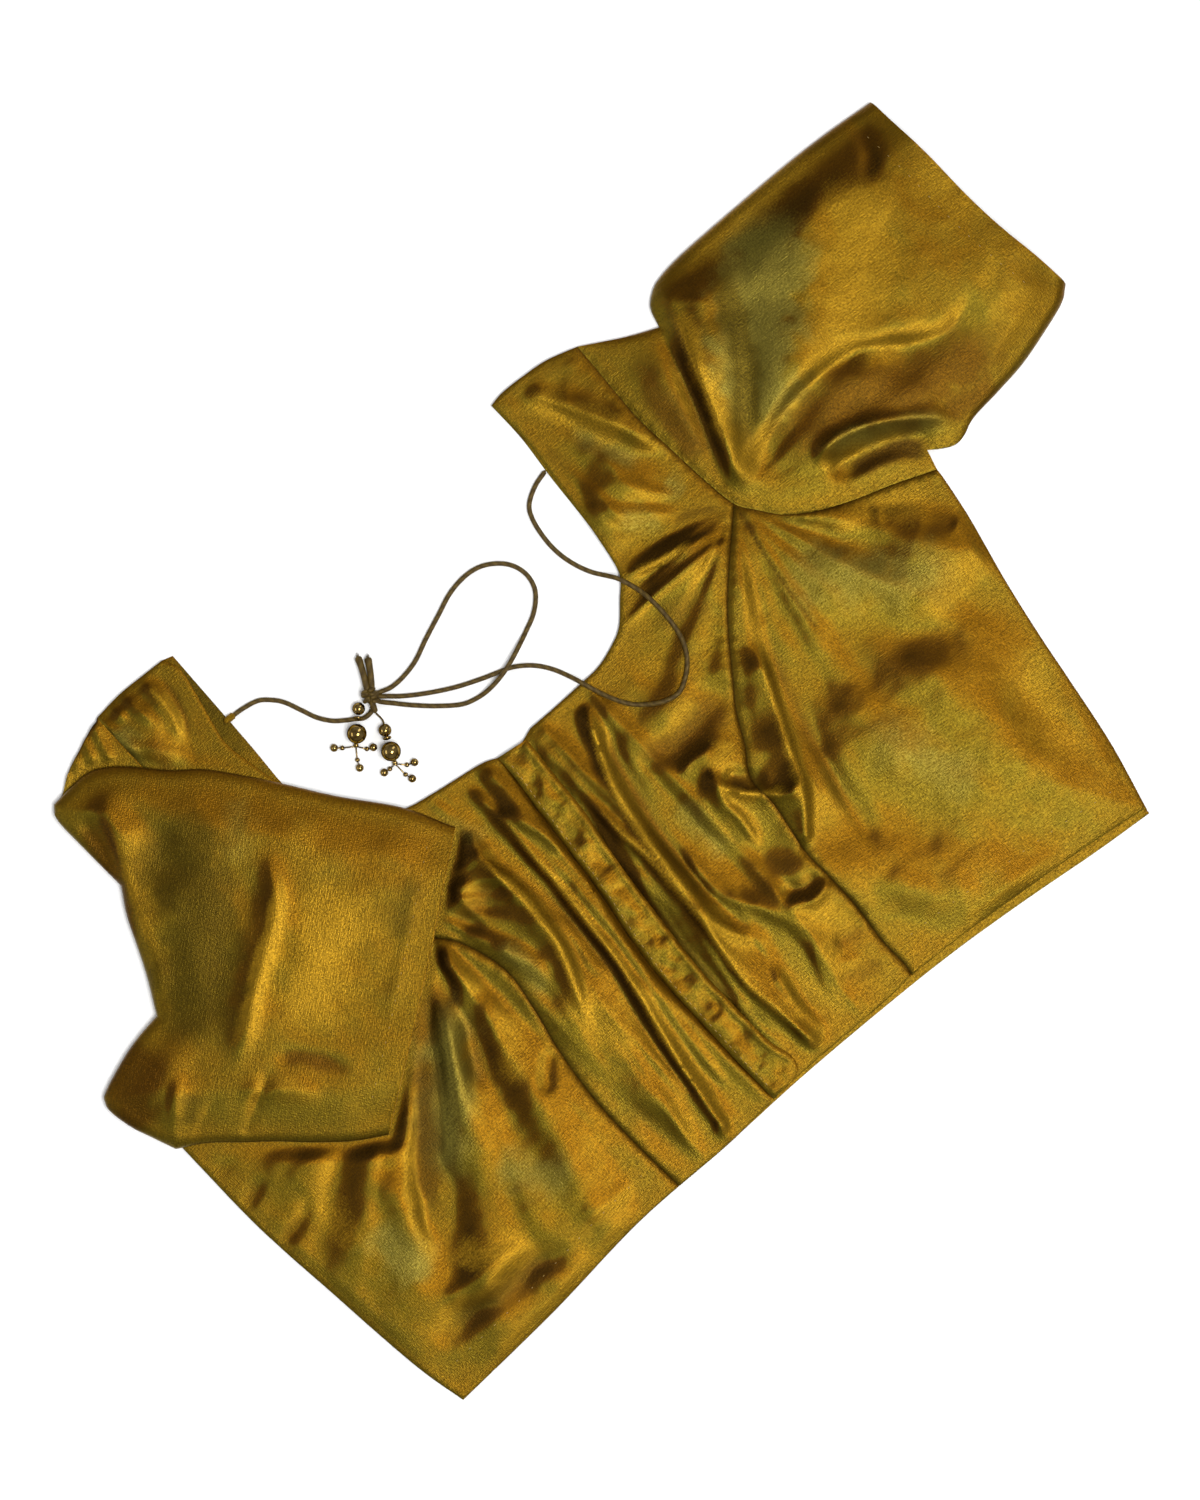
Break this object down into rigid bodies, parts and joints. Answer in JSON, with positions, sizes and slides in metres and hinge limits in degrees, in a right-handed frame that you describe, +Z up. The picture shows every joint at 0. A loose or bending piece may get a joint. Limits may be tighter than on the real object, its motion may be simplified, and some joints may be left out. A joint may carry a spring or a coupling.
{
  "type": "choli blouse",
  "caption": "Cropped short-sleeved blouse laid flat front up, one sleeve out and one folded over it, with princess seams, a centre hook band, a low neck and beaded back ties.",
  "frame": {"origin": "on the surface under the middle of the laid-out cloth's box", "axes": "+X along the hem to the wearer's left, +Y from the hem to the neck, +Z up off the surface"},
  "size_m": [0.5814, 0.351, 0.0151],
  "materials": {
    "tissue_silk": "shot gold and green tissue silk, metallic sheen, fine plain weave",
    "tie_cord": "olive-brown covered round cord, satin",
    "gold_bead": "polished gold-coloured metal beads on wire"
  },
  "bodies": {
    "root": {"back": "tissue_silk", "front_left_centre": "tissue_silk", "front_left_side": "tissue_silk", "front_right_centre": "tissue_silk", "front_right_side": "tissue_silk", "hook_band": "tissue_silk", "sleeve_left": "tissue_silk", "sleeve_right": "tissue_silk", "tie_cord_left": "tie_cord", "tie_cord_right": "tie_cord", "tie_loop": "tie_cord", "tie_knot": "tie_cord", "tie_ear_1": "tie_cord", "tie_ear_2": "tie_cord", "tassel_1_medium_bead": "gold_bead", "tassel_1_large_bead": "gold_bead", "tassel_1_cap": "gold_bead", "tassel_1_drop_1": "gold_bead", "tassel_1_drop_2": "gold_bead", "tassel_1_drop_3": "gold_bead", "tassel_2_medium_bead": "gold_bead", "tassel_2_large_bead": "gold_bead", "tassel_2_cap": "gold_bead", "tassel_2_drop_1": "gold_bead", "tassel_2_drop_2": "gold_bead", "tassel_2_drop_3": "gold_bead"}
  },
  "joints": []
}
